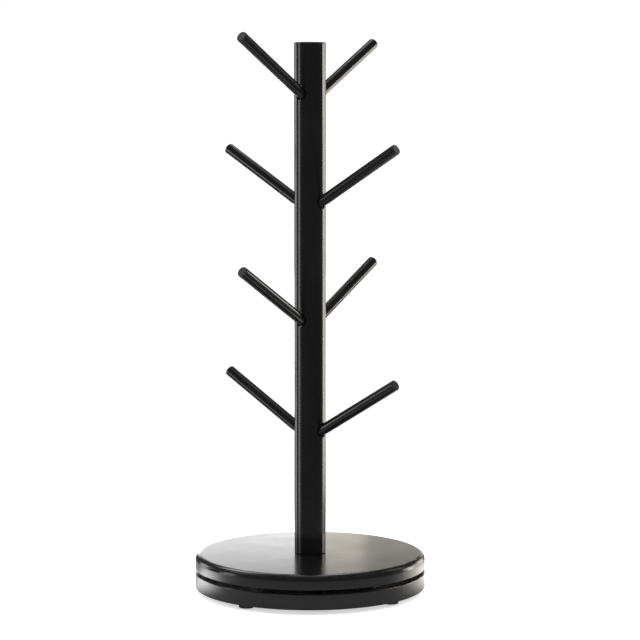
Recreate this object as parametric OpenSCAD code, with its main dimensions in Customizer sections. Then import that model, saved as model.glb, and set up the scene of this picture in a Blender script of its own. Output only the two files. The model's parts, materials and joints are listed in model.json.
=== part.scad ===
// Rotating mug tree: a round post with crossed pairs of upswept arms on a weighted turntable base.
// Millimetres. The floor is z = 0 and the turning axis is the z axis.

/* [Base] */
// Diameter of both base discs
base_d = 184; // [176:1:220]
// Height of the rubber feet below the lower disc
foot_h = 4; // [3:0.5:8]
// Diameter of a rubber foot
foot_d = 12; // [10:0.5:14]
// Distance from the turning axis to a foot's centre
foot_r = 80; // [72:0.5:81]
// Height of the fixed lower disc
lower_disc_h = 12.2; // [11:0.1:16]
// Radius of the rounded upper edge of the lower disc
lower_round = 0.7; // [0.4:0.1:3]
// Open groove between the two discs
disc_gap = 3.2; // [3:0.1:5]
// Height of the turning upper disc
upper_disc_h = 11.4; // [10.4:0.1:14]
// Radius of the rounded rim of the upper disc
upper_round = 4.8; // [1:0.1:6]
// Thickness of the pressed-steel shells and of the bottom plate
sheet_t = 1.2; // [0.8:0.1:1.4]
// Thickness of the stiffening plate under the upper shell
hub_plate_t = 4; // [3:0.5:4]

/* [Turntable bearing] */
// Diameter of the circle that the ball centres lie on
ball_circle_d = 105; // [100:0.5:108]
// Diameter of a ball
ball_d = 4; // [3.5:0.1:4.2]
// Number of balls
ball_count = 24; // [16:4:32]
// Radial width of each bearing ring
ring_w = 8.7; // [8.2:0.1:9]

/* [Post] */
// Outer diameter of the post tube
post_d = 25; // [24:0.1:32]
// Wall thickness of the post tube
post_wall = 1.2; // [1:0.1:1.5]
// Height of the post above the highest pair of arms, cap included
post_top_margin = 46.5; // [36:0.1:80]

/* [Arms] */
// Diameter of an arm
arm_d = 8.5; // [8.2:0.1:9.5]
// Length from the post's centre line to an arm's tip, along the arm
arm_reach = 97; // [70:0.5:110]
// Angle of the arms above the horizontal
arm_tilt = 30; // [24:1:36]
// Gap round an arm where it goes through the post's wall
arm_hole_gap = 1; // [0.5:0.1:1.6]
// Height of the lowest pair above the upper disc, where the pair's axes cross
first_pair_rise = 92.6; // [70:0.1:120]
// Rise from the first pair to the second
second_pair_rise = 88.8; // [75:0.1:110]
// Rise from the second pair to the third
third_pair_rise = 92.9; // [75:0.1:110]
// Rise from the third pair to the top one
top_pair_rise = 85.2; // [75:0.1:110]

/* [Hidden] */
$fn = 96;

// Directions around the post, counter-clockwise from +x
RIGHT = 0;
BACK = 90;
LEFT = 180;
FRONT = 270;
SIDES = 4;
QUARTER_TURN = 90;
// Fasteners stand half way between the feet
SCREW_AZIMUTH = 45;

// Finishes
COAT_BLACK = "#1c1c1e";
RUBBER_BLACK = "#26262a";
CAST_IRON = "#4a4a4c";
ZINC_STEEL = "#a9adb2";
ALUMINIUM = "#c4c6c9";
BALL_STEEL = "#d8dade";
NYLON = "#e9e6da";

// A hair that a cutter reaches past the face it cuts
EPS = 0.5;
// Radial room round plain pieces, threads and running parts
FIT = 0.1;
THREAD_FIT = 0.05;
BALL_FIT = 0.12;
// Facets round a ball
BALL_FACETS = 32;

// Heights of the stack, from the floor up
base_r = base_d / 2;
base_bottom_z = foot_h;
lower_top_z = base_bottom_z + lower_disc_h;
upper_bottom_z = lower_top_z + disc_gap;
upper_top_z = upper_bottom_z + upper_disc_h;
hub_plate_top_z = upper_top_z - sheet_t;
hub_plate_z = hub_plate_top_z - hub_plate_t;

// Roundings of the shells that are the same on both
skirt_round = 0.4;
inner_corner_round = 0.3;

// Bottom plate, set a little up inside the lower shell
plate_recess = 0.4;
plate_z = base_bottom_z + plate_recess;
plate_top_z = plate_z + sheet_t;
plate_r = base_r - sheet_t - 0.4;

// Ballast ring, hung under the lower shell's top
weight_top_z = lower_top_z - sheet_t;
weight_z = plate_top_z + 2.4;
weight_inner_r = 50;
weight_outer_r = base_r - sheet_t - 1.6;
weight_boss_d = 12;
plate_screw_r = 76;

// Rubber feet: a stem and barb hold each one in the bottom plate
foot_round = 0.8;
foot_stem_d = 4.8;
foot_hole_d = foot_stem_d + 2 * FIT;
foot_barb_d = 6.4;
foot_barb_tip_d = 4.2;
foot_barb_h = 1.7;

// Ball bearing: the outer ring stands on the lower shell, the inner ring hangs from the hub plate
ball_circle_r = ball_circle_d / 2;
ring_gap = 1.6;
ring_lift = 1.5;
bearing_z = lower_top_z;
bearing_top_z = hub_plate_z;
ball_z = (bearing_z + bearing_top_z) / 2;
ball_pitch = 360 / ball_count;
outer_ring_r = ball_circle_r + ring_gap / 2;
inner_ring_r = ball_circle_r - ring_gap / 2 - ring_w;
outer_screw_r = outer_ring_r + ring_w / 2 + 0.2;
inner_screw_r = inner_ring_r + ring_w / 2 - 0.2;
cage_t = 0.8;
cage_margin = 0.15;
cage_z = bearing_z + ring_lift + cage_margin;
cage_top_z = bearing_top_z - ring_lift - cage_margin;

// M4 screws: countersunk in the bearing rings, pan-headed under the bottom plate
M4_D = 4;
M4_CLEARANCE_D = 4.5;
M4_SUNK_D = 7.4;
M4_SUNK_H = 2.1;
M4_PAN_D = 7.6;
M4_PAN_H = 2.2;
M4_PAN_ROUND = 1;
M4_RECESS_W = 0.9;
M4_RECESS_L = 3.6;
M4_RECESS_DEPTH = 1.2;
screw_tip_room = 0.6;
screw_floor = 1.4;
outer_screw_l = bearing_top_z - ring_lift - weight_z - screw_floor;
inner_screw_l = bearing_top_z - bearing_z - ring_lift + hub_plate_t - screw_tip_room;
plate_screw_l = weight_top_z - plate_z - screw_floor;

// M8 bolt that holds the post, with its washers
M8_D = 8;
M8_CLEARANCE_D = 8.6;
M8_HEAD_D = 13;
M8_HEAD_H = 8;
M8_KEY_W = 6;
M8_KEY_DEPTH = 4;
HEX_SIDES = 6;
m8_length = 26;
flat_washer_d = 24;
flat_washer_t = 1.6;
spring_washer_d = 14.8;
spring_washer_t = 2;
spring_washer_slot = 1.2;
washer_hole_d = 8.4;
bolt_seat_z = hub_plate_z - flat_washer_t - spring_washer_t;

// Plate that the inner ring and the post bolt hold on to
hub_plate_r = ball_circle_r + 12;

// Inside of the post tube
post_bore_d = post_d - 2 * post_wall;

// Arms and the sockets inside the post that they screw into
arm_spigot_d = arm_d - 0.5;
arm_tip_round = 0.7;
arm_stud_d = 5;
arm_stud_l = 5.6;
arm_seat_t = 9;
arm_shoulder_gap = 0.5;
wall_hole_d = arm_d + 2 * arm_hole_gap;
socket_below = 4;
socket_above = 14.5;
socket_d = post_bore_d - 4 * FIT;
stud_hole_l = arm_stud_l + 1;
first_pair_z = upper_top_z + first_pair_rise;
second_pair_z = first_pair_z + second_pair_rise;
third_pair_z = second_pair_z + third_pair_rise;
pair_zs = [first_pair_z, second_pair_z, third_pair_z, third_pair_z + top_pair_rise];

// Where the whole round of the arm first clears the post, measured along the arm
arm_clear_t = (post_d / 2 + (arm_d / 2 + arm_shoulder_gap) * sin(arm_tilt)) / cos(arm_tilt);
arm_shoulder_t = ceil(arm_clear_t * 10 + 1) / 10;

// Post, closed by a plug at each end
post_top_z = pair_zs[3] + post_top_margin;
post_foot_round = 0.8;
cap_flange_t = 1.8;
cap_round = 0.5;
cap_plug_l = 12;
cap_plug_wall = 2;
post_tube_l = post_top_z - cap_flange_t - upper_top_z;
plug_d = post_bore_d - 2 * FIT;
foot_plug_l = 20;

// What a rounding takes off a square corner that lies at the origin, with its body towards -x and -y
module corner_cut(round) {
    if (round > 0) {
        translate([-round, -round])
            difference() {
                square(round + EPS);
                circle(r = round);
            }
    }
}

// Half section of a disc with a rounded upper and lower rim
module disc_section(r, h, upper, lower = 0) {
    difference() {
        square([r, h]);
        translate([r, h]) corner_cut(upper);
        translate([r, 0]) mirror([0, 1]) corner_cut(lower);
    }
}

// Pressed shell, open below: a disc of sheet with a rounded rim and a skirt
module pressed_shell(h, round, hole_d) {
    rotate_extrude()
        difference() {
            disc_section(base_r, h, round, skirt_round);
            translate([0, -EPS])
                disc_section(base_r - sheet_t, h - sheet_t + EPS, max(round - sheet_t, inner_corner_round));
            square([hole_d / 2, h + EPS]);
        }
}

module tube(outer_d, inner_d, h) {
    difference() {
        cylinder(d = outer_d, h = h);
        translate([0, 0, -EPS]) cylinder(d = inner_d, h = h + 2 * EPS);
    }
}

// Copies of the children round the z axis, one in each quarter
module in_each_quarter(first = 0) {
    for (i = [0:SIDES - 1]) {
        rotate([0, 0, first + i * QUARTER_TURN]) children();
    }
}

// Cross recess in a screw head whose top is at z = 0
module cross_recess() {
    for (turn = [0, QUARTER_TURN]) {
        rotate([0, 0, turn])
            translate([-M4_RECESS_L / 2, -M4_RECESS_W / 2, -M4_RECESS_DEPTH])
                cube([M4_RECESS_L, M4_RECESS_W, M4_RECESS_DEPTH + EPS]);
    }
}

// Countersunk screw that points down, with the top of its head at z = 0
module sunk_screw(length) {
    difference() {
        union() {
            translate([0, 0, -length]) cylinder(d = M4_D, h = length);
            translate([0, 0, -M4_SUNK_H]) cylinder(d1 = M4_D, d2 = M4_SUNK_D, h = M4_SUNK_H);
        }
        cross_recess();
    }
}

// Pan-headed screw that points down, with its head standing on z = 0
module pan_screw(length) {
    difference() {
        union() {
            translate([0, 0, -length]) cylinder(d = M4_D, h = length);
            rotate_extrude() disc_section(M4_PAN_D / 2, M4_PAN_H, M4_PAN_ROUND);
        }
        translate([0, 0, M4_PAN_H]) cross_recess();
    }
}

// Clearance hole and countersink, going down from z = 0
module sunk_hole(depth) {
    translate([0, 0, -depth]) cylinder(d = M4_CLEARANCE_D, h = depth + EPS);
    translate([0, 0, -M4_SUNK_H - FIT]) cylinder(d1 = M4_D, d2 = M4_SUNK_D + 2 * FIT, h = M4_SUNK_H + FIT);
    cylinder(d = M4_SUNK_D + 2 * FIT, h = EPS);
}

// Threaded hole for an M4 screw, going down from z = 0
module threaded_hole(depth) {
    translate([0, 0, -depth]) cylinder(d = M4_D + 2 * THREAD_FIT, h = depth + EPS);
}

// The track that the balls roll in, cut out of both rings
module ball_track() {
    translate([0, 0, ball_z])
        rotate_extrude()
            translate([ball_circle_r, 0]) circle(d = ball_d + 2 * BALL_FIT);
}

// Copies of the children at the centres of the balls
module at_each_ball() {
    for (i = [1:ball_count]) {
        rotate([0, 0, (i - 1 / 2) * ball_pitch])
            translate([ball_circle_r, 0, ball_z]) children();
    }
}

// Puts the children at a pair's crossing point with their z axis along an arm
module along_arm(level, azimuth) {
    translate([0, 0, pair_zs[level - 1]])
        rotate([0, 0, azimuth])
            rotate([0, 90 - arm_tilt, 0]) children();
}

// The two directions of a pair: side to side on odd levels, front to back on even ones
function pair_azimuths(level) = level % 2 == 1 ? [RIGHT, LEFT] : [BACK, FRONT];

module base_shell() {
    color(COAT_BLACK)
        difference() {
            translate([0, 0, base_bottom_z])
                pressed_shell(lower_disc_h, lower_round, 2 * weight_inner_r);
            in_each_quarter(SCREW_AZIMUTH)
                translate([outer_screw_r, 0, lower_top_z - sheet_t - EPS])
                    cylinder(d = M4_CLEARANCE_D, h = sheet_t + 2 * EPS);
        }
}

module base_weight() {
    color(CAST_IRON)
        difference() {
            union() {
                translate([0, 0, weight_z])
                    tube(2 * weight_outer_r, 2 * weight_inner_r, weight_top_z - weight_z);
                in_each_quarter(SCREW_AZIMUTH)
                    translate([plate_screw_r, 0, plate_top_z])
                        cylinder(d = weight_boss_d, h = weight_z - plate_top_z + EPS);
            }
            in_each_quarter(SCREW_AZIMUTH) {
                translate([plate_screw_r, 0, plate_z])
                    mirror([0, 0, 1]) threaded_hole(plate_screw_l + screw_tip_room);
                translate([outer_screw_r, 0, bearing_top_z - ring_lift])
                    threaded_hole(outer_screw_l + screw_tip_room);
            }
        }
}

module base_plate() {
    color(ZINC_STEEL)
        difference() {
            translate([0, 0, plate_z]) cylinder(r = plate_r, h = sheet_t);
            in_each_quarter()
                translate([foot_r, 0, plate_z - EPS]) cylinder(d = foot_hole_d, h = sheet_t + 2 * EPS);
            in_each_quarter(SCREW_AZIMUTH)
                translate([plate_screw_r, 0, plate_z - EPS])
                    cylinder(d = M4_CLEARANCE_D, h = sheet_t + 2 * EPS);
        }
}

module base_plate_screws() {
    color(ZINC_STEEL)
        in_each_quarter(SCREW_AZIMUTH)
            translate([plate_screw_r, 0, plate_z]) mirror([0, 0, 1]) pan_screw(plate_screw_l);
}

module foot(azimuth) {
    color(RUBBER_BLACK)
        rotate([0, 0, azimuth])
            translate([foot_r, 0, 0]) {
                rotate_extrude() disc_section(foot_d / 2, plate_z, 0, foot_round);
                translate([0, 0, plate_z]) cylinder(d = foot_stem_d, h = sheet_t + FIT);
                translate([0, 0, plate_top_z + FIT])
                    cylinder(d1 = foot_barb_d, d2 = foot_barb_tip_d, h = foot_barb_h);
            }
}

module bearing_outer_ring() {
    color(ALUMINIUM)
        difference() {
            translate([0, 0, bearing_z])
                tube(2 * (outer_ring_r + ring_w), 2 * outer_ring_r, bearing_top_z - bearing_z - ring_lift);
            ball_track();
            in_each_quarter(SCREW_AZIMUTH)
                translate([outer_screw_r, 0, bearing_top_z - ring_lift])
                    sunk_hole(bearing_top_z - bearing_z);
        }
}

module bearing_outer_screws() {
    color(ZINC_STEEL)
        in_each_quarter(SCREW_AZIMUTH)
            translate([outer_screw_r, 0, bearing_top_z - ring_lift]) sunk_screw(outer_screw_l);
}

module bearing_balls() {
    color(BALL_STEEL)
        at_each_ball() sphere(d = ball_d, $fn = BALL_FACETS);
}

module bearing_ball_cage() {
    color(NYLON)
        difference() {
            translate([0, 0, cage_z])
                tube(ball_circle_d + cage_t, ball_circle_d - cage_t, cage_top_z - cage_z);
            at_each_ball()
                rotate([0, 90, 0]) cylinder(d = ball_d + 2 * FIT, h = cage_t + 2 * EPS, center = true);
        }
}

module bearing_inner_ring() {
    color(ALUMINIUM)
        difference() {
            translate([0, 0, bearing_z + ring_lift])
                tube(2 * (inner_ring_r + ring_w), 2 * inner_ring_r, bearing_top_z - bearing_z - ring_lift);
            ball_track();
            in_each_quarter(SCREW_AZIMUTH)
                translate([inner_screw_r, 0, bearing_z + ring_lift])
                    mirror([0, 0, 1]) sunk_hole(bearing_top_z - bearing_z);
        }
}

module bearing_inner_screws() {
    color(ZINC_STEEL)
        in_each_quarter(SCREW_AZIMUTH)
            translate([inner_screw_r, 0, bearing_z + ring_lift])
                mirror([0, 0, 1]) sunk_screw(inner_screw_l);
}

module turntable_shell() {
    color(COAT_BLACK)
        translate([0, 0, upper_bottom_z]) pressed_shell(upper_disc_h, upper_round, M8_CLEARANCE_D);
}

module turntable_hub_plate() {
    color(ZINC_STEEL)
        difference() {
            translate([0, 0, hub_plate_z]) tube(2 * hub_plate_r, M8_CLEARANCE_D, hub_plate_t);
            in_each_quarter(SCREW_AZIMUTH)
                translate([inner_screw_r, 0, hub_plate_top_z + EPS])
                    threaded_hole(hub_plate_t + 2 * EPS);
        }
}

module post_bolt() {
    color(ZINC_STEEL)
        translate([0, 0, bolt_seat_z]) {
            cylinder(d = M8_D, h = m8_length);
            difference() {
                translate([0, 0, -M8_HEAD_H]) cylinder(d = M8_HEAD_D, h = M8_HEAD_H);
                translate([0, 0, -M8_HEAD_H - EPS])
                    cylinder(d = M8_KEY_W / cos(180 / HEX_SIDES), h = M8_KEY_DEPTH + EPS, $fn = HEX_SIDES);
            }
        }
}

module post_spring_washer() {
    color(ZINC_STEEL)
        translate([0, 0, bolt_seat_z])
            difference() {
                tube(spring_washer_d, washer_hole_d, spring_washer_t);
                translate([0, -spring_washer_slot / 2, -EPS])
                    cube([spring_washer_d, spring_washer_slot, spring_washer_t + 2 * EPS]);
            }
}

module post_flat_washer() {
    color(ZINC_STEEL)
        translate([0, 0, hub_plate_z - flat_washer_t]) tube(flat_washer_d, washer_hole_d, flat_washer_t);
}

module post_foot_plug() {
    color(ZINC_STEEL)
        translate([0, 0, upper_top_z]) tube(plug_d, M8_D + 2 * THREAD_FIT, foot_plug_l);
}

module post() {
    color(COAT_BLACK)
        difference() {
            translate([0, 0, upper_top_z])
                rotate_extrude() disc_section(post_d / 2, post_tube_l, 0, post_foot_round);
            translate([0, 0, upper_top_z - EPS])
                cylinder(d = post_bore_d, h = post_tube_l + 2 * EPS);
            for (level = [1:4], azimuth = pair_azimuths(level)) {
                along_arm(level, azimuth)
                    translate([0, 0, arm_seat_t]) cylinder(d = wall_hole_d, h = post_d);
            }
        }
}

module post_cap() {
    color(RUBBER_BLACK) {
        translate([0, 0, post_top_z - cap_flange_t])
            rotate_extrude() disc_section(post_d / 2, cap_flange_t, cap_round);
        translate([0, 0, post_top_z - cap_flange_t - cap_plug_l])
            tube(plug_d, plug_d - 2 * cap_plug_wall, cap_plug_l);
    }
}

module arm_socket(level) {
    color(ZINC_STEEL)
        difference() {
            translate([0, 0, pair_zs[level - 1] - socket_below])
                cylinder(d = socket_d, h = socket_below + socket_above);
            for (azimuth = pair_azimuths(level)) {
                along_arm(level, azimuth) {
                    translate([0, 0, arm_seat_t]) cylinder(d = wall_hole_d, h = post_d);
                    translate([0, 0, arm_seat_t - stud_hole_l])
                        cylinder(d = arm_stud_d + 2 * THREAD_FIT, h = stud_hole_l + EPS);
                }
            }
        }
}

module arm(level, azimuth) {
    color(COAT_BLACK)
        along_arm(level, azimuth) {
            translate([0, 0, arm_seat_t - arm_stud_l]) cylinder(d = arm_stud_d, h = arm_stud_l);
            translate([0, 0, arm_seat_t]) cylinder(d = arm_spigot_d, h = arm_shoulder_t - arm_seat_t);
            translate([0, 0, arm_shoulder_t])
                rotate_extrude() disc_section(arm_d / 2, arm_reach - arm_shoulder_t, arm_tip_round);
        }
}

base_shell();
base_weight();
base_plate();
base_plate_screws();
foot(FRONT);  // foot_front
foot(BACK);  // foot_back
foot(LEFT);  // foot_left
foot(RIGHT);  // foot_right
bearing_outer_ring();
bearing_outer_screws();
bearing_balls();
bearing_ball_cage();
bearing_inner_ring();
bearing_inner_screws();
turntable_shell();
turntable_hub_plate();
post_bolt();
post_spring_washer();
post_flat_washer();
post_foot_plug();
post();
post_cap();
arm_socket(1);  // arm_socket_1
arm_socket(2);  // arm_socket_2
arm_socket(3);  // arm_socket_3
arm_socket(4);  // arm_socket_4
arm(1, LEFT);  // arm_1_left
arm(1, RIGHT);  // arm_1_right
arm(2, FRONT);  // arm_2_front
arm(2, BACK);  // arm_2_back
arm(3, LEFT);  // arm_3_left
arm(3, RIGHT);  // arm_3_right
arm(4, FRONT);  // arm_4_front
arm(4, BACK);  // arm_4_back
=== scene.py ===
import json
import math

import bpy
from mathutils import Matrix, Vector


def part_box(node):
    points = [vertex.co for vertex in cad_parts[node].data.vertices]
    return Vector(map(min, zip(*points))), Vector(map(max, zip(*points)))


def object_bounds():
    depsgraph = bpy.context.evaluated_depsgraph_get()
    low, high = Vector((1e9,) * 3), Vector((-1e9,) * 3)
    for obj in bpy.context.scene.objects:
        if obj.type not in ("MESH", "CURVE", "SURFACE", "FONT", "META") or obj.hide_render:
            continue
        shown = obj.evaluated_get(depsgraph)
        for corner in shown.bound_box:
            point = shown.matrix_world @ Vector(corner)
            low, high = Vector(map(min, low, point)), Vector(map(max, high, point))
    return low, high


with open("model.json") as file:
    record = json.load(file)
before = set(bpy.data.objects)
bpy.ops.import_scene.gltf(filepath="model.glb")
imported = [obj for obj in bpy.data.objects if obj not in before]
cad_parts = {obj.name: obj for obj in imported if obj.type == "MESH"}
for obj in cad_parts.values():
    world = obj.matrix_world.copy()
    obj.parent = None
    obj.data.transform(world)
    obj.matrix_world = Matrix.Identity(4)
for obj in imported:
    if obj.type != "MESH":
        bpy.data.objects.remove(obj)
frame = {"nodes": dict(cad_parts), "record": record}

CAD_LOW, CAD_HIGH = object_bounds()
MM = 0.001

# ---------------------------------------------------------------- the frame, in figures
HEIGHT = CAD_HIGH.z - CAD_LOW.z
MOUNTS = {m["name"]: m for m in frame["record"]["mounts"]}
ARM_NAMES = sorted(name for name in MOUNTS if name.startswith("arm_"))
UPPER_LOW, UPPER_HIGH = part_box("turntable_shell")
LOWER_LOW, LOWER_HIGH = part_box("base_shell")
POST_LOW, POST_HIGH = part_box("post")
BASE_RADIUS = UPPER_HIGH.x
# Roundings of the two discs' outer edges
UPPER_ROUNDING = 4.8 * MM
LOWER_ROUNDING = 0.7 * MM

# ---------------------------------------------------------------- where the camera stands
# Degrees to the right of the front, distance from the axis, and height over the table
VIEW_AZIMUTH = math.radians(38.11)
VIEW_DISTANCE = 1.695
VIEW_HEIGHT = 0.3696
# The point it looks at: that high on the axis, then that far to the right
AIM_HEIGHT = 0.4925 * HEIGHT
AIM_RIGHT = 7.9 * MM
LENS_MM = 120.4
SENSOR_MM = 36.0
NEAR_CLIP, FAR_CLIP = 0.05, 50

# ---------------------------------------------------------------- how bright the studio is
# The world as a soft fill, as the room seen in reflections, and as the white backdrop
FILL_GLOW = 1.3
ROOM_GLOW = 0.08
BACKDROP_GLOW = 1.02
WHITE = (1.0, 1.0, 1.0)
WARM = (1.0, 0.93, 0.82)
COOL = (0.95, 0.97, 1.0)
# The floor's own light, the share of it that reflections show, and the floor's radius
FLOOR_GLOW = 0.5
FLOOR_IN_GLOSS = 0.34
FLOOR_RADIUS = 0.42
FLOOR_SIDES = 96
# Where the floor starts to fade and where it has gone, as shares of its radius
FADE_START, FADE_END = 0.33, 0.95
# Turn, distance, radius and glow of the two painted pools of light on the floor, which only reflections
# show: they paint bright patches on the ends of the base's sides
LEFT_PAINTED_POOL = (-90, 0.16, 0.075, 6.5)
RIGHT_PAINTED_POOL = (102, 0.185, 0.12, 3.8)


def around(azimuth, distance, height):
    """The point that far from the turning axis, with azimuth 0 in front and a quarter turn on the right."""
    return Vector((distance * math.sin(azimuth), -distance * math.cos(azimuth), height))


def make_camera():
    """Stand the camera where the photograph was taken from."""
    camera = bpy.data.objects.new("camera", bpy.data.cameras.new("camera"))
    bpy.context.scene.collection.objects.link(camera)
    right = Vector((math.cos(VIEW_AZIMUTH), math.sin(VIEW_AZIMUTH), 0))
    camera.location = around(VIEW_AZIMUTH, VIEW_DISTANCE, VIEW_HEIGHT)
    aim = Vector((0, 0, AIM_HEIGHT)) + right * AIM_RIGHT
    camera.rotation_mode = "QUATERNION"
    camera.rotation_quaternion = (aim - camera.location).to_track_quat("-Z", "Y")
    camera.data.lens = LENS_MM
    camera.data.sensor_width = SENSOR_MM
    camera.data.clip_start = NEAR_CLIP
    camera.data.clip_end = FAR_CLIP
    bpy.context.scene.camera = camera


# ---------------------------------------------------------------- studio
def link_lamp(name, width, depth, glow, colour):
    """An area lamp of that size and brightness, not seen by the camera itself."""
    lamp = bpy.data.lights.new(name, "AREA")
    lamp.shape = "RECTANGLE"
    lamp.size, lamp.size_y = width, depth
    lamp.energy = glow * math.pi * width * depth
    lamp.color = colour
    obj = bpy.data.objects.new(name, lamp)
    bpy.context.scene.collection.objects.link(obj)
    obj.visible_camera = False
    return obj


def aim_lamp(obj, turn, distance, height, target_height):
    """Stand a lamp that many degrees right of the camera, aimed at the axis."""
    obj.location = around(VIEW_AZIMUTH + math.radians(turn), distance, height)
    obj.rotation_mode = "QUATERNION"
    obj.rotation_quaternion = (Vector((0, 0, target_height)) - obj.location).to_track_quat("-Z", "Y")


def softbox(name, turn, distance, width, low, high, glow, colour=WHITE):
    """An upright soft lamp facing the axis, from height low to high."""
    obj = link_lamp(name, width, high - low, glow, colour)
    middle = (low + high) / 2
    aim_lamp(obj, turn, distance, middle, middle)


def high_box(name, turn, rise, distance, width, tall, glow, colour=WHITE, target=HEIGHT / 2):
    """A soft lamp aimed at a height of the axis, the middle unless told, from that many degrees above it."""
    obj = link_lamp(name, width, tall, glow, colour)
    up = math.radians(rise)
    aim_lamp(obj, turn, distance * math.cos(up), target + distance * math.sin(up), target)
    return obj


def narrow_beam(obj, degrees):
    """Put a grid on a lamp: the same brightness straight ahead, and none outside the beam."""
    half = math.radians(degrees) / 2
    obj.data.spread = 2 * half
    obj.data.energy *= (math.tan(half) - half) / math.tan(half)


def make_world():
    """White behind everything, an even soft fill, and a dim room in the reflections."""
    world = bpy.data.worlds.new("studio")
    bpy.context.scene.world = world
    world.use_nodes = True
    tree = world.node_tree
    tree.nodes.clear()
    path = tree.nodes.new("ShaderNodeLightPath")
    shown = None
    for test, colour, strength in (
        (None, WHITE, FILL_GLOW),
        ("Is Glossy Ray", COOL, ROOM_GLOW),
        ("Is Camera Ray", WHITE, BACKDROP_GLOW),
    ):
        light = tree.nodes.new("ShaderNodeBackground")
        light.inputs["Color"].default_value = (*colour, 1.0)
        light.inputs["Strength"].default_value = strength
        if test is None:
            shown = light.outputs["Background"]
            continue
        mix = tree.nodes.new("ShaderNodeMixShader")
        tree.links.new(path.outputs[test], mix.inputs["Fac"])
        tree.links.new(shown, mix.inputs[1])
        tree.links.new(light.outputs["Background"], mix.inputs[2])
        shown = mix.outputs["Shader"]
    out = tree.nodes.new("ShaderNodeOutputWorld")
    tree.links.new(shown, out.inputs["Surface"])


def make_floor():
    """A pale round light table that fades into the white all round and can't be seen from below."""
    mesh = bpy.data.meshes.new("floor")
    ring = [2 * math.pi * i / FLOOR_SIDES for i in range(FLOOR_SIDES)]
    corners = [(FLOOR_RADIUS * math.cos(a), FLOOR_RADIUS * math.sin(a), 0) for a in ring]
    mesh.from_pydata(corners, [], [tuple(range(FLOOR_SIDES))])
    mesh.materials.append(light_table())
    floor = bpy.data.objects.new("floor", mesh)
    bpy.context.scene.collection.objects.link(floor)


def light_table():
    """Pale matt surface with its own light, dimmer in reflections apart from the two painted pools of light,
    which only reflections show.
    """
    n = Nodes("pale_floor")
    mirrored = n.new("ShaderNodeLightPath").outputs["Is Glossy Ray"]
    cloud = n.noise(60 * MM, 3.0)
    pale = n.mix(cloud, rgb(0.84), rgb(0.87))
    n.link(n.mix(mirrored, pale, rgb(0.86 * FLOOR_IN_GLOSS)), n.shader.inputs["Base Color"])
    n.link(n.spread(cloud, 0.85, 0.95), n.shader.inputs["Roughness"])
    n.shader.inputs["Specular IOR Level"].default_value = 0.1
    glow = n.remap(mirrored, 0.0, 1.0, FLOOR_GLOW, FLOOR_GLOW * FLOOR_IN_GLOSS)
    # The two painted pools of light, added to the floor's glow in reflections only
    left, right = painted_light_pool(n, *LEFT_PAINTED_POOL), painted_light_pool(n, *RIGHT_PAINTED_POOL)
    painted_pools = n.math("MULTIPLY", mirrored, n.math("ADD", left, right))
    n.link(n.math("ADD", glow, painted_pools), n.shader.inputs["Emission Strength"])
    # Painted light: the floor's glow is warmer in the right painted pool
    n.link(n.mix(n.math("MINIMUM", right, 1.0), rgb(1.0), rgb(1.0, WARM)), n.shader.inputs["Emission Color"])
    fade = n.remap(n.radius(), FADE_START * FLOOR_RADIUS, FADE_END * FLOOR_RADIUS, 1.0, 0.0)
    from_below = n.new("ShaderNodeNewGeometry").outputs["Backfacing"]
    n.link(n.math("SUBTRACT", fade, from_below, clamp=True), n.shader.inputs["Alpha"])
    return n.material


def painted_light_pool(n, turn, distance, radius, glow):
    """A painted pool of light: how much brighter the floor glows near a spot beside the base."""
    centre = around(VIEW_AZIMUTH + math.radians(turn), distance, 0)
    reach = n.vector_math("DISTANCE", n.place, centre)["Value"]
    return n.remap(reach, 0.0, radius, glow, 0.0)


def make_studio():
    """The world, the floor and every lamp, each with its place, size and brightness."""
    make_world()
    make_floor()
    # Name, turn, rise, distance, width, height, glow and tint
    high_box("top_softbox", 0, 89, 1.3, 0.6, 0.6, 0.8)
    high_box("left_high_box", -98, 44, 1.6, 0.7, 0.7, 1.3)
    high_box("right_high_box", 118, 33, 1.6, 0.5, 0.5, 1.1, WARM)
    rim_box = high_box("left_rim_box", -142, 50, 0.4, 0.23, 0.16, 5.5, target=UPPER_HIGH.z)
    narrow_beam(rim_box, 70)
    high_box("back_rim_box", 176, 50, 1.6, 0.35, 1.1, 4.0)
    # Name, turn, distance, width, lower end, upper end, glow and tint
    softbox("right_near_box", 115, 1.6, 0.3, -0.2, 0.55, 9.6, WARM)
    softbox("right_far_box", 136, 1.6, 0.86, -0.2, 0.55, 3.2, WARM)
    softbox("left_far_box", -127, 1.6, 0.55, -0.3, 0.55, 2.6)
    softbox("left_near_box", -86, 1.6, 0.36, -0.3, 0.55, 4.2)
    softbox("back_left_card", -170, 0.8, 0.28, 0.02, 0.197, 3.75)
    softbox("back_right_card", 168, 0.8, 0.34, 0.02, 0.205, 1.15, WARM)
    softbox("back_near_card", 177.7, 0.78, 0.064, 0.02, 0.205, 1.15, WARM)


# ---------------------------------------------------------------- material building blocks
# The band that most of a noise's values lie in
NOISE_LOW, NOISE_HIGH = 0.3, 0.7

# Powder coat: shades of the black, of a dust fleck and of a rubbed spot
COAT_DARK, COAT_LIGHT = 0.004, 0.007
FLECK_SHADE, RUBBED_SHADE = 0.03, 0.04
# How far the coat's roughness wanders, what a fleck adds to it and what rubbing takes off
SHINE_WANDER, FLECK_DULLS, RUB_SHINES = 0.015, 0.05, 0.05
# Width and depth of the orange peel and of the grain on it
PEEL_SIZE, PEEL_DEPTH = 1.6 * MM, 0.003 * MM
GRAIN_SIZE, GRAIN_DEPTH = 0.25 * MM, 0.001 * MM
COAT_IOR = 1.44
# How strong the wear is on the discs' edges, the post's ends, the arms' tips and along the arms' tops
DISC_WEAR, POST_WEAR, TIP_WEAR, TOP_WEAR = 0.15, 0.4, 0.6, 0.25


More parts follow.
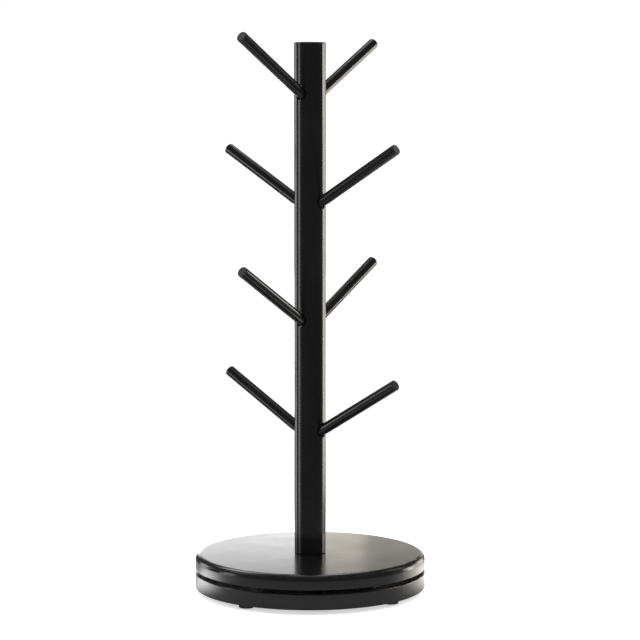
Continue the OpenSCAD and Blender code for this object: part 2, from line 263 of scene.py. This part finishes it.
class Nodes:
    """Short calls for wiring one material's nodes."""

    def __init__(self, name):
        self.material = bpy.data.materials.new(name)
        self.material.use_nodes = True
        self.tree = self.material.node_tree
        self.tree.nodes.clear()
        out = self.new("ShaderNodeOutputMaterial")
        self.shader = self.new("ShaderNodeBsdfPrincipled")
        self.link(self.shader.outputs["BSDF"], out.inputs["Surface"])
        self.place = self.new("ShaderNodeTexCoord").outputs["Object"]

    def new(self, kind):
        return self.tree.nodes.new(kind)

    def link(self, source, target):
        """Wire a socket to another, or set it to a plain value."""
        if isinstance(source, Vector):
            source = tuple(source)
        if isinstance(source, (int, float, tuple)):
            target.default_value = source
        else:
            self.tree.links.new(source, target)

    def math(self, operation, a, b=0.0, clamp=False):
        node = self.new("ShaderNodeMath")
        node.operation = operation
        node.use_clamp = clamp
        self.link(a, node.inputs[0])
        self.link(b, node.inputs[1])
        return node.outputs[0]

    def vector_math(self, operation, a, b):
        node = self.new("ShaderNodeVectorMath")
        node.operation = operation
        self.link(a, node.inputs[0])
        self.link(b, node.inputs[1])
        return node.outputs

    def remap(self, value, from_low, from_high, to_low=0.0, to_high=1.0):
        """Carry one range smoothly over to another, and hold the ends outside it."""
        node = self.new("ShaderNodeMapRange")
        node.interpolation_type = "SMOOTHSTEP"
        self.link(value, node.inputs["Value"])
        self.link(from_low, node.inputs["From Min"])
        self.link(from_high, node.inputs["From Max"])
        self.link(to_low, node.inputs["To Min"])
        self.link(to_high, node.inputs["To Max"])
        return node.outputs["Result"]

    def noise(self, size, detail, roughness=0.5):
        """Noise whose features are about that size, in metres."""
        node = self.new("ShaderNodeTexNoise")
        node.inputs["Scale"].default_value = 1 / size
        node.inputs["Detail"].default_value = detail
        node.inputs["Roughness"].default_value = roughness
        self.link(self.place, node.inputs["Vector"])
        return node.outputs["Fac"]

    def spread(self, noise, low, high):
        """Stretch the band that most of a noise lies in over low to high."""
        return self.remap(noise, NOISE_LOW, NOISE_HIGH, low, high)

    def mix(self, factor, a, b):
        """Blend two colours: all a at factor 0, and all b at 1."""
        node = self.new("ShaderNodeMix")
        node.data_type = "RGBA"
        self.link(factor, node.inputs["Factor"])
        self.link(a, node.inputs["A"])
        self.link(b, node.inputs["B"])
        return node.outputs["Result"]

    def bump(self, height, depth, below=None):
        """A bump of that depth in metres where height goes from 0 to 1."""
        node = self.new("ShaderNodeBump")
        node.inputs["Strength"].default_value = 1.0
        node.inputs["Distance"].default_value = depth
        self.link(height, node.inputs["Height"])
        if below is not None:
            self.link(below, node.inputs["Normal"])
        return node.outputs["Normal"]

    def split(self, vector):
        """The vector's x, y and z."""
        node = self.new("ShaderNodeSeparateXYZ")
        self.link(vector, node.inputs[0])
        return node.outputs

    def radius(self):
        """Distance from the turning axis."""
        x, y, _ = self.split(self.place)
        squares = self.math("ADD", self.math("MULTIPLY", x, x), self.math("MULTIPLY", y, y))
        return self.math("SQRT", squares)


def rgb(value, tint=WHITE):
    """A grey of that brightness, tinted."""
    return (value * tint[0], value * tint[1], value * tint[2], 1.0)


def powder_coat(name, rough, wear):
    """Satin black powder coat with faint orange peel, grain and flecks, and rubbed where wear says."""
    n = Nodes(name)
    cloud = n.noise(30 * MM, 3.0)
    fleck = n.remap(n.noise(0.6 * MM, 2.0), 0.68, 0.76)
    colour = n.mix(cloud, rgb(COAT_DARK), rgb(COAT_LIGHT, (1.0, 0.99, 0.96)))
    colour = n.mix(n.math("MULTIPLY", fleck, 0.15), colour, rgb(FLECK_SHADE))
    shine = n.spread(cloud, rough - SHINE_WANDER, rough + SHINE_WANDER)
    shine = n.math("ADD", shine, n.math("MULTIPLY", fleck, FLECK_DULLS))
    worn = wear(n)
    colour = n.mix(worn, colour, rgb(RUBBED_SHADE, (1.0, 0.97, 0.93)))
    shine = n.math("SUBTRACT", shine, n.math("MULTIPLY", worn, RUB_SHINES))
    n.link(colour, n.shader.inputs["Base Color"])
    n.link(shine, n.shader.inputs["Roughness"])
    peel = n.bump(n.noise(PEEL_SIZE, 2.0), PEEL_DEPTH)
    n.link(n.bump(n.noise(GRAIN_SIZE, 1.0), GRAIN_DEPTH, peel), n.shader.inputs["Normal"])
    n.shader.inputs["IOR"].default_value = COAT_IOR
    return n.material


def patchy(n, mask, size=4 * MM):
    """That mask, broken up into worn spots."""
    return n.math("MULTIPLY", mask, n.remap(n.noise(size, 4.0), 0.42, 0.62))


def disc_edge_wear(low, high, rounding):
    """Wear on a disc's upper rim and on the foot of its skirt."""
    def wear(n):
        z = n.split(n.place)[2]
        outer = n.remap(n.radius(), BASE_RADIUS - rounding, BASE_RADIUS - 0.4 * rounding)
        upper = n.remap(z, high.z - 0.75 * rounding, high.z - 0.35 * rounding)
        skirt = n.remap(z, low.z + 0.6 * MM, low.z + 0.2 * MM)
        edges = n.math("MAXIMUM", n.math("MULTIPLY", outer, upper), skirt)
        return n.math("MULTIPLY", patchy(n, edges), DISC_WEAR)
    return wear


def arm_wear(mount):
    """Wear on the rim of an arm's tip, and a rubbed line on top where handles slide."""
    middle = Vector(mount["pos_m"])
    along = Vector(mount["axis"]).normalized()
    half = mount["dims"]["length_mm"] * MM / 2

    def wear(n):
        offset = n.vector_math("SUBTRACT", n.place, middle)["Vector"]
        t = n.vector_math("DOT_PRODUCT", offset, along)["Value"]
        past_shank = n.remap(t, half - 0.4 * MM, half + 0.2 * MM)
        before_face = n.remap(t, half + 0.66 * MM, half + 0.45 * MM)
        tip = patchy(n, n.math("MULTIPLY", past_shank, before_face), 2 * MM)
        upward = n.split(n.new("ShaderNodeNewGeometry").outputs["Normal"])[2]
        towards_tip = n.remap(t, -half * 0.9, half * 0.2)
        top = patchy(n, n.math("MULTIPLY", n.remap(upward, 0.72, 0.86), towards_tip), 7 * MM)
        return n.math("MAXIMUM", n.math("MULTIPLY", tip, TIP_WEAR), n.math("MULTIPLY", top, TOP_WEAR))
    return wear


def post_wear(n):
    """Wear on both ends of the post."""
    z = n.split(n.place)[2]
    top = n.remap(z, POST_HIGH.z - 0.6 * MM, POST_HIGH.z)
    foot = n.remap(z, POST_LOW.z + 0.8 * MM, POST_LOW.z)
    return n.math("MULTIPLY", patchy(n, n.math("MAXIMUM", top, foot)), POST_WEAR)


def black_plastic():
    """Fine-grained moulded plastic of the post's cap."""
    n = Nodes("cap_plastic")
    cloud = n.noise(8 * MM, 3.0)
    n.link(n.mix(cloud, rgb(0.004), rgb(0.008)), n.shader.inputs["Base Color"])
    n.link(n.spread(cloud, 0.24, 0.32), n.shader.inputs["Roughness"])
    n.link(n.bump(n.noise(0.35 * MM, 2.0), 0.003 * MM), n.shader.inputs["Normal"])
    return n.material


def rubber():
    """Moulded rubber, scuffed where it meets the floor."""
    n = Nodes("foot_rubber")
    z = n.split(n.place)[2]
    cloud = n.noise(3 * MM, 4.0)
    scuff = n.math("MULTIPLY", n.remap(z, 1.2 * MM, 0.2 * MM), n.remap(cloud, 0.4, 0.65))
    colour = n.mix(cloud, rgb(0.012), rgb(0.022))
    n.link(n.mix(scuff, colour, rgb(0.06, (1.0, 0.98, 0.95))), n.shader.inputs["Base Color"])
    n.link(n.spread(cloud, 0.68, 0.82), n.shader.inputs["Roughness"])
    n.link(n.bump(n.noise(0.3 * MM, 2.0), 0.015 * MM), n.shader.inputs["Normal"])
    return n.material


def cast_iron():
    """Sand-cast iron with a pitted skin."""
    n = Nodes("cast_iron")
    pits = n.noise(1.4 * MM, 5.0, roughness=0.65)
    rust = n.remap(n.noise(14 * MM, 4.0), 0.58, 0.72)
    colour = n.mix(pits, rgb(0.055), rgb(0.11))
    colour = n.mix(n.math("MULTIPLY", rust, 0.35), colour, (0.14, 0.06, 0.03, 1))
    n.link(colour, n.shader.inputs["Base Color"])
    n.link(n.spread(pits, 0.55, 0.75), n.shader.inputs["Roughness"])
    n.link(n.bump(pits, 0.12 * MM), n.shader.inputs["Normal"])
    n.shader.inputs["Metallic"].default_value = 0.85
    return n.material


def bright_metal(name, shade, roughness, grain, tint=WHITE):
    """Machined or plated metal with a fine turned grain and faint staining."""
    n = Nodes(name)
    radius = n.radius()
    rings = n.new("ShaderNodeTexNoise")
    rings.noise_dimensions = "1D"
    rings.inputs["Scale"].default_value = 1 / grain
    rings.inputs["Detail"].default_value = 2.0
    n.link(radius, rings.inputs["W"])
    stain = n.noise(12 * MM, 4.0)
    dark, light = shade
    n.link(n.mix(stain, rgb(dark, tint), rgb(light, tint)), n.shader.inputs["Base Color"])
    blotch = n.math("ADD", stain, n.math("MULTIPLY", rings.outputs["Fac"], 0.3))
    n.link(n.remap(blotch, 0.4, 0.9, *roughness), n.shader.inputs["Roughness"])
    n.link(n.bump(rings.outputs["Fac"], 0.004 * MM), n.shader.inputs["Normal"])
    n.shader.inputs["Metallic"].default_value = 1.0
    return n.material


def nylon():
    """Natural nylon with a faint mottle."""
    n = Nodes("cage_nylon")
    cloud = n.noise(5 * MM, 3.0)
    n.link(n.mix(cloud, (0.72, 0.7, 0.6, 1), (0.84, 0.82, 0.74, 1)), n.shader.inputs["Base Color"])
    n.link(n.spread(cloud, 0.4, 0.55), n.shader.inputs["Roughness"])
    n.link(n.bump(n.noise(0.4 * MM, 2.0), 0.01 * MM), n.shader.inputs["Normal"])
    n.shader.inputs["Subsurface Weight"].default_value = 0.1
    n.shader.inputs["Subsurface Radius"].default_value = (0.002, 0.002, 0.0015)
    return n.material


# ---------------------------------------------------------------- dressing the CAD nodes
# Roughness of the black coat, a little smoother on the post
DISC_ROUGHNESS = 0.21
POST_ROUGHNESS = 0.2
ARM_ROUGHNESS = 0.22


def dress(node, material):
    """Give one CAD node that material alone."""
    obj = frame["nodes"][node]
    obj.data.materials.clear()
    obj.data.materials.append(material)
    for polygon in obj.data.polygons:
        polygon.material_index = 0


def dress_all():
    """Each node's own finish where it has one, and otherwise the finish of its material in the record."""
    lower = disc_edge_wear(LOWER_LOW, LOWER_HIGH, LOWER_ROUNDING)
    upper = disc_edge_wear(UPPER_LOW, UPPER_HIGH, UPPER_ROUNDING)
    finishes = {
        "base_shell": powder_coat("coat_lower_disc", DISC_ROUGHNESS, lower),
        "turntable_shell": powder_coat("coat_upper_disc", DISC_ROUGHNESS, upper),
        "post": powder_coat("coat_post", POST_ROUGHNESS, post_wear),
        "post_cap": black_plastic(),
        "base_weight": cast_iron(),
        "bearing_ball_cage": nylon(),
    }
    for name in ARM_NAMES:
        finishes[name] = powder_coat("coat_" + name, ARM_ROUGHNESS, arm_wear(MOUNTS[name]))
    shared = {
        "black_rubber": rubber(),
        "zinc_steel": bright_metal("zinc_plate", shade=(0.5, 0.66), roughness=(0.28, 0.42),
                                   grain=0.25 * MM, tint=(0.98, 1.0, 1.03)),
        "ring_aluminium": bright_metal("turned_aluminium", shade=(0.68, 0.8), roughness=(0.22, 0.34),
                                       grain=0.18 * MM),
        "ball_steel": bright_metal("ground_ball_steel", shade=(0.72, 0.8), roughness=(0.06, 0.12),
                                   grain=0.5 * MM),
    }
    for part in frame["record"]["subparts"]:
        node, slot = part["node"], part["material_slot"]
        dress(node, finishes.get(node) or shared[slot])


bpy.context.scene.view_settings.view_transform = "Standard"
make_camera()
make_studio()
dress_all()
